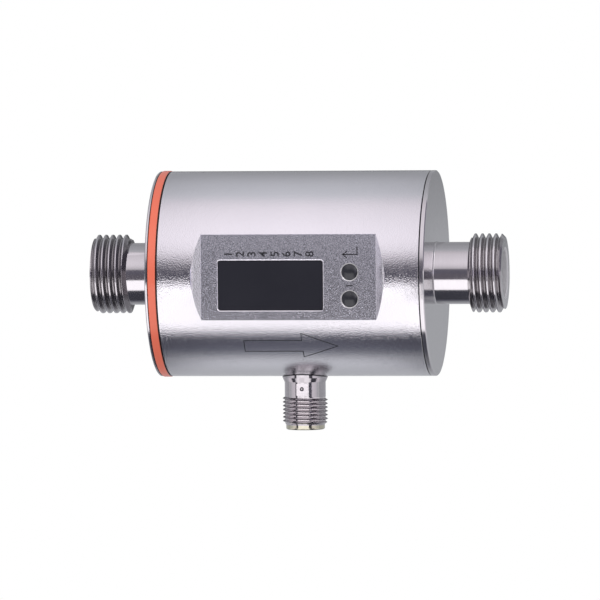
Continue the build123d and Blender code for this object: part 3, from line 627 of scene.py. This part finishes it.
def shell_cut(along, angles):
    return np.minimum(undercut + (cable_top - along) * undercut_slope, cable_tip + (along - cable_foot) * cable_slope)


# %% Rows of the connector shell
def flat_row(height, angles):
    """A row of the shank with its small flat, which is nearer to the axis than the round."""
    turned = angles - spot_angle
    reach = np.minimum(shank, spot_flat / np.maximum(np.cos(turned), 0.1))
    return np.stack([np.full_like(angles, height), reach, angles], 1)


def shell_rows():
    angles = np.linspace(0, 2 * pi, 193)
    half = np.arccos(spot_flat / shank)
    for edge in (spot_angle - half, spot_angle + half):
        angles[np.abs(angles - edge).argmin()] = edge
    saddle = []
    for radius in (pocket, collar):
        height = -np.sqrt((drum + collar_gap) ** 2 - (radius * np.sin(angles)) ** 2)
        saddle.append(np.stack([height, np.full_like(angles, radius), angles], 1))
    inside = [(contact_end, shell_bore), (contact_end, contact_bore), (shell_top, contact_bore), (shell_top, pocket)]
    below_drum = [(-27.32, collar), (-27.6, 6.01), (-28.35, 5.67), (-28.7, 5.52), (collar_foot, shank),
                  (spot_top, shank)]
    flat = [flat_row(spot_top, angles), flat_row(spot_foot, angles)]
    above_thread = [(spot_foot, shank), (cable_top, shank), (cable_top, undercut)]
    rounded_end = [(cable_foot, 5.15), (-41.0, 5.15), (-41.22, 5.08), (-41.37, 4.93), (shell_end, 4.72),
                   (shell_end, 4.3), (-41.4, shell_bore)]
    thread = thread_rows(cable_foot, cable_top, cable_major, cable_pitch, cable_crest, cable_thread, angles,
                         shell_cut)
    return (turned_rows(inside, angles) + saddle + turned_rows(below_drum, angles) + flat
            + turned_rows(above_thread, angles) + thread[::-1] + turned_rows(rounded_end, angles))


points, faces = skin(shell_rows())
along, radius, angle = points.T
upright = np.stack([shell_x + radius * np.cos(angle), radius * np.sin(angle), along], 1)
shell = add_piece("connector_shell_turned", upright, faces, finishes["nickel"], sharp=15)
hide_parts("connector_shell")


# %% [markdown]
# ## Printing
#
# Signs are printed on the steel: an arrow for the flow, plain numbers beside the row of lamps and a simple sign for
# each button. A printed line is a thin skin a hundredth of a millimetre above the surface. `stroke` draws a line of
# even width through points, with mitred corners, and cuts it into short lengths so that it can follow the drum.

# %% A printed line
def stroke(points, width, closed, step):
    points = [Vector(p) for p in points]
    count = len(points)
    edges = count if closed else count - 1
    sides = []
    for i, point in enumerate(points):
        before = (point - points[i - 1]).normalized() if closed or i else None
        after = (points[(i + 1) % count] - point).normalized() if closed or i < count - 1 else None
        before, after = before or after, after or before
        normal = Vector((-before.y - after.y, before.x + after.x)).normalized()
        reach = width / 2 / max(0.3, normal.dot(Vector((-after.y, after.x))))
        sides.append((point + normal * reach, point - normal * reach))
    flat, faces = [], []
    for i in range(edges):
        (a, b), (c, d) = sides[i], sides[(i + 1) % count]
        parts = max(1, int((points[(i + 1) % count] - points[i]).length / step))
        for k in range(parts + 1):
            flat += [a.lerp(c, k / parts), b.lerp(d, k / parts)]
            if k:
                n = len(flat)
                faces.append((n - 4, n - 3, n - 1, n - 2))
    return flat, faces


# %% [markdown]
# The ink is a dark blue-black with a faint gloss, a little broken by the blasted ground below it.

# %% Ink and where it lies
ink = moulded("printing_ink", tone(0.016, 0.016, 0.022), 0.45, skin=0.006, scale=4200.0, shade=0.6)
ink_lift = 0.012


def on_drum(place):
    """From (along the flow, up the drum's skin from its middle) to a point just above the drum."""
    angle = place[1] / drum
    return (place[0], -(drum + ink_lift) * cos(angle), (drum + ink_lift) * sin(angle))


def on_flat(place):
    return (place[0], -flat_depth - ink_lift, place[1])


# %% The flow arrow, on the drum below the flat
arrow_level = radians(-42.2) * drum
tail, head, point, shaft_half, head_half = -11.87, 3.53, 12.93, 2.0, 4.4
arrow = [(tail, -shaft_half), (head, -shaft_half), (head, -head_half), (point, 0), (head, head_half),
         (head, shaft_half), (tail, shaft_half)]
outline, faces = stroke([(x, arrow_level + up) for x, up in arrow], width=0.24, closed=True, step=0.7)
add_piece("arrow_print", [on_drum(p) for p in outline], faces, ink)


# %% [markdown]
# The numbers are Blender's own letters turned into a mesh. They stand on their side above the window, one for each
# lamp. `gather` makes one piece of several prints.

# %% Numbers above the window
number_size, number_weight = 3.1, 0.045
first_number, number_pitch, number_foot, number_count = -15.12, 3.076, 5.3, 8


def number_mesh(text, x, z):
    letter = bpy.data.curves.new("number", "FONT")
    letter.body, letter.size, letter.align_x, letter.align_y = text, number_size * mm, "LEFT", "CENTER"
    letter.offset = number_weight * mm
    holder = bpy.data.objects.new("number", letter)
    mesh = bpy.data.meshes.new_from_object(holder)
    points = [(x - v.co.y / mm, z + v.co.x / mm) for v in mesh.vertices]
    faces = [tuple(p.vertices) for p in mesh.polygons]
    bpy.data.objects.remove(holder)
    bpy.data.meshes.remove(mesh)
    return points, faces


def gather(prints):
    points, faces = [], []
    for more_points, more_faces in prints:
        faces += [tuple(i + len(points) for i in face) for face in more_faces]
        points += more_points
    return points, faces


labels, label_faces = gather(number_mesh(str(i + 1), first_number + number_pitch * i, number_foot)
                             for i in range(number_count))
add_piece("scale_print", [on_flat(p) for p in labels], label_faces, ink, sharp=180)

# %% Signs of the two buttons
return_stem, return_head = [(18.9, 7.9), (18.9, 5.9), (15.1, 5.9)], [(16.2, 6.8), (15.1, 5.9), (16.2, 5.0)]
dash = [(15.9, -2.25), (17.7, -2.25)]
signs, sign_faces = gather(stroke(line, width=0.3, closed=False, step=5.0)
                           for line in (return_stem, return_head, dash))
add_piece("button_print", [on_flat(p) for p in signs], sign_faces, ink, sharp=180)

# %% [markdown]
# ## Light
#
# Polished metal shows nothing of its own, only what stands around it. In the studio that is a row of long cards:
# light ones above and below the lens, a dark gap for the camera, and a dark gap again under the meter. Here one tube
# of cards lies around the meter, along the flow. It glows with a strength that depends on the angle around the axis,
# and it is seen only in reflections, so it neither lights the floor nor hides the meter from the camera. Each list
# gives an angle in degrees, counted from the front over the top, a level and a tint. One list is for the stretch
# before the drum. The other is for the stretches before the nipples, where the gap for the camera is wider.

# %% The tube of cards
card_radius, card_reach, card_strength = 220 * mm, 2600 * mm, 5.0
tints = {"grey": (0.98, 1.0, 1.05), "blue": (0.96, 0.98, 1.22), "dusk": (1.01, 0.96, 1.2),
         "white": (1.0, 0.975, 1.0), "mauve": (1.025, 0.975, 1.03)}
before_drum = [
    (-180, 0.55, "grey"), (-143, 0.58, "grey"), (-128, 0.66, "grey"), (-116, 0.78, "grey"), (-107, 0.79, "grey"),
    (-99, 0.56, "grey"), (-91, 0.2, "blue"), (-70, 0.13, "blue"), (-64.5, 0.18, "blue"), (-60.5, 1.58, "white"),
    (-20, 1.54, "white"), (-14, 1.9, "white"), (-9.4, 3.0, "white"), (-8.7, 0.10, "dusk"), (5, 0.11, "dusk"),
    (12, 0.5, "mauve"), (17.5, 0.98, "mauve"), (25.5, 1.36, "mauve"), (36, 1.44, "mauve"), (48, 1.41, "mauve"),
    (60, 1.33, "mauve"), (75, 1.22, "mauve"), (85, 1.08, "mauve"), (92, 0.90, "grey"), (100, 0.82, "grey"),
    (115, 0.73, "grey"), (125, 0.63, "grey"), (137, 0.5, "grey"), (155, 0.38, "grey"), (180, 0.45, "grey"),
]
before_nipples = [
    (-180, 0.6, "grey"), (-140, 0.48, "grey"), (-130, 0.4, "grey"), (-119, 0.16, "blue"), (-112, 0.07, "blue"),
    (-63, 0.08, "blue"), (-61.3, 1.9, "white"), (-9, 1.9, "white"), (-8, 0.17, "dusk"), (15.5, 0.18, "dusk"),
    (17.5, 0.74, "mauve"), (27, 1.02, "mauve"), (36, 1.15, "mauve"), (46, 1.15, "mauve"), (60, 1.08, "mauve"),
    (76, 0.98, "mauve"), (85, 0.83, "mauve"), (96, 0.68, "grey"), (107, 0.58, "grey"), (120, 0.54, "grey"),
    (137, 0.44, "grey"), (180, 0.45, "grey"),
]


def glow_tone(level, tint):
    return tuple(c * level / card_strength for c in tints[tint]) + (1.0,)


def card_stops(levels):
    return [((degrees + 180) / 360, glow_tone(level, tint)) for degrees, level, tint in levels]


# %% [markdown]
# Along the flow the cards end too. The white card in the lower front stops a little to the right and further to the
# left of the meter. A narrow dark gap follows on each side, and then a pinkish wall that fades with the distance. The
# upright connector shows those gaps as dark lines beside its highlight. Above, a bright strip stands at the right end
# of the card, dimmer at the lens's own height, and beyond both ends everything is dim, so the threads are dark with
# thin white lines. Behind the meter it is dark as well, apart from two dim patches at the right: the outlet's flat
# end faces mirror them. Each zone is laid over the zones before it.

# %% Glow of the cards
gap_foot, gap_top = -8.5, 14.0         # the gap for the camera, in degrees
strip_from, strip_to = 125, 250        # the bright strip at the right


def between(value, low, high):
    return (value > low) * (value < high)


def outside(value, low, high):
    return (value < low) + (value > high)


def card_finish():
    finish = Finish("cards")
    x = finish.node("SeparateXYZ", inputs={0: finish.node("NewGeometry", output="Position")})
    y, z = x.beside("Y"), x.beside("Z")
    angle = finish.node("Math", {"operation": "ARCTAN2"}, {0: z, 1: y * -1.0}) * (180 / pi)
    turn = angle * (1 / 360) + 0.5
    drum_glow = finish.node("ValToRGB", {"stops": card_stops(before_drum)}, {0: turn})
    nipple_glow = finish.node("ValToRGB", {"stops": card_stops(before_nipples)}, {0: turn})
    far = (x * x) ** 0.5

    def fading(value, first, last, near, distant):
        """From one glow to another between two places, given in millimetres."""
        share = finish.node("MapRange", None, {0: value, 1: first * mm, 2: last * mm})
        return finish.blend(share, glow_tone(*near), glow_tone(*distant))

    before_outlet, before_inlet = between(x, 7.3 * mm, 85 * mm), between(x, -120 * mm, -67 * mm)
    lower, upper = between(angle, -105.0, gap_foot), between(angle, gap_foot, 125.0)
    rear = 1 - between(angle, -169.6, 165.0)
    wall = fading(far, 180, 1100, (1.2, "mauve"), (0.8, "grey"))
    zones = [
        (before_outlet + before_inlet, nipple_glow),
        (lower * outside(x, -152 * mm, 112 * mm), glow_tone(0.08, "blue")),
        (lower * outside(x, -232 * mm, 215 * mm), wall),
        (upper * (x > strip_from * mm), glow_tone(0.8, "grey")),
        (between(angle, gap_foot, 92.0) * (x > strip_from * mm), glow_tone(3.0, "white")),
        (between(angle, gap_foot, gap_top) * (x > strip_from * mm), glow_tone(1.2, "dusk")),
        (upper * outside(x, -125 * mm, strip_to * mm), glow_tone(0.3, "dusk")),
        (between(angle, gap_foot, gap_top + 2.0) * (far > strip_to * mm), glow_tone(1.3, "mauve")),
        (outside(angle, -150.0, 150.0) * (far > 110 * mm), glow_tone(0.7, "grey")),
        (rear, glow_tone(0.16, "grey")),
        (rear * between(x, 50 * mm, 80 * mm), fading(z, 2, 36, (0.47, "grey"), (0.25, "grey"))),
        (rear * between(x, 80 * mm, 100 * mm), fading(z, -18, 2, (0.52, "grey"), (0.24, "grey"))),
    ]
    glow = drum_glow
    for zone, light in zones:
        glow = finish.blend(zone, glow, light)
    return finish.card(glow, card_strength)


def seen_in_metal_only(thing):
    thing.visible_camera = thing.visible_diffuse = thing.visible_shadow = False
    thing.visible_transmission = thing.visible_volume_scatter = False


# %% Build the cards
def add_card(name, points, faces, finish):
    mesh = bpy.data.meshes.new(name)
    mesh.from_pydata(points, [], faces)
    mesh.materials.append(finish)
    card = bpy.data.objects.new(name, mesh)
    bpy.context.scene.collection.objects.link(card)
    seen_in_metal_only(card)


card_sides = 180
around = np.linspace(0, 2 * pi, card_sides + 1)
tube = [(x, -card_radius * cos(a), card_radius * sin(a)) for x in (-card_reach, card_reach) for a in around]
across = card_sides + 1
add_card("cards", tube, [(i, i + 1, i + 1 + across, i + across) for i in range(card_sides)], card_finish())
print("cards around the meter at", round(card_radius / mm), "mm")


# %% [markdown]
# A dark flag hangs close in front of each nipple. It widens the dark gap that the polished necks show, and it is so
# near that the middle of the drum doesn't see it.

# %% Two dark flags
flag_look = Finish("flags").card(tone(0.185, 0.172, 0.205), 1.0)
flag_foot, flag_top, flag_distance = -22.7, -1, 60
for name, left, right in (("flag_inlet", -75, -45.2), ("flag_outlet", 31.8, 62)):
    corners = [(left, flag_foot), (right, flag_foot), (right, flag_top), (left, flag_top)]
    add_card(name, [(x * mm, -flag_distance * mm, z * mm) for x, z in corners], [(0, 1, 2, 3)], flag_look)


# %% [markdown]
# Plastic and rubber scatter light, and the floor needs a soft shadow. Both get that from one large lamp above and in
# front, which metal doesn't mirror, and from the pale surroundings. What the camera and reflections see beyond the
# cards is plain white.

# %% Lamp and surroundings
lamp_light = bpy.data.lights.new("soft_lamp", "AREA")
lamp_light.shape, lamp_light.size, lamp_light.size_y, lamp_light.energy = "RECTANGLE", 1.4, 1.0, 11.0
soft_lamp = bpy.data.objects.new("soft_lamp", lamp_light)
soft_lamp.location = (-0.25, -1.1, 0.7)
soft_lamp.rotation_euler = (Vector((0, 0, 0)) - soft_lamp.location).to_track_quat("-Z", "Y").to_euler()
soft_lamp.visible_glossy = False
bpy.context.scene.collection.objects.link(soft_lamp)

world = bpy.data.worlds.new("studio")
bpy.context.scene.world = world
air = Finish("studio", world)
seen = air.node("LightPath", output="Is Camera Ray")
plain = seen + seen.beside("Is Glossy Ray") + seen.beside("Is Transmission Ray")
plain = air.node("Clamp", None, {0: plain})
air_tone = air.blend(plain, tone(0.62, 0.62, 0.64), tone(1, 1, 1))
sky = air.node("Background", None, {"Color": air_tone, "Strength": 1.0})
air.node("OutputWorld", None, {"Surface": sky})

# %% [markdown]
# The floor is a pale disc, 30 centimetres below the meter. It keeps the soft shadow and fades to white at its rim, so
# it has no edge from any side.

# %% Floor
def floor_finish(reach):
    finish = Finish("floor")
    position = finish.node("NewGeometry", output="Position")
    x = finish.node("SeparateXYZ", inputs={0: position})
    y = x.beside("Y")
    out = (x * x + y * y) ** 0.5
    rim = finish.node("MapRange", {"interpolation_type": "SMOOTHSTEP"}, {0: out, 1: reach * 0.25, 2: reach * 0.92})
    pale = finish.blend(finish.noise(position, 30.0, 3.0), tone(0.86, 0.86, 0.86), tone(0.9, 0.9, 0.9))
    paper = finish.node("BsdfDiffuse", None, {"Color": pale})
    white = finish.node("Emission", None, {"Color": tone(1, 1, 1), "Strength": 1.0})
    share = finish.node("LightPath", output="Is Camera Ray") * (0.55 + rim * 0.45)
    finish.node("OutputMaterial", None, {"Surface": finish.node("MixShader", None, {0: share, 1: paper, 2: white})})
    return finish.material


floor_reach, floor_level = 1.5, -0.30
floor_mesh = bpy.data.meshes.new("floor")
floor_mesh.from_pydata([(floor_reach * cos(a), floor_reach * sin(a), floor_level) for a in around[:-1]], [],
                       [tuple(range(card_sides))])
floor_mesh.materials.append(floor_finish(floor_reach))
floor = bpy.data.objects.new("floor", floor_mesh)
bpy.context.scene.collection.objects.link(floor)

# %% [markdown]
# ## Camera
#
# The view was worked out from the outlines of the caps, the ring and the flat: 8.5 degrees towards the outlet, 2.3
# degrees from above, with a long lens almost two metres away, turned by half a degree. The lens points a little below
# the axis of the bore, where the middle of the picture is.

# %% Camera at the photograph's angle
view_side, view_up, view_turn, view_distance = radians(8.477), radians(2.251), radians(0.497), 1.9419
aim_right, aim_down = 0.056, 7.06
back = Vector((sin(view_side) * cos(view_up), -cos(view_side) * cos(view_up), sin(view_up)))
right = Vector((cos(view_side), sin(view_side), 0))
up = back.cross(right)
right, up = right * cos(view_turn) - up * sin(view_turn), right * sin(view_turn) + up * cos(view_turn)
aim = right * aim_right * mm - up * aim_down * mm
eye = back * view_distance
back = (eye - aim).normalized()
right = (right - back * right.dot(back)).normalized()
up = back.cross(right)

lens = bpy.data.cameras.new("camera")
lens.lens, lens.sensor_width, lens.clip_start, lens.clip_end = 438.6, 36.0, 0.05, 50.0
camera = bpy.data.objects.new("camera", lens)
camera.matrix_world = Matrix.Translation(eye) @ Matrix((right, up, back)).transposed().to_4x4()
bpy.context.scene.collection.objects.link(camera)
bpy.context.scene.camera = camera
bpy.context.scene.view_settings.view_transform = "Standard"

# %% Bring the scene up to date
bpy.context.view_layer.update()
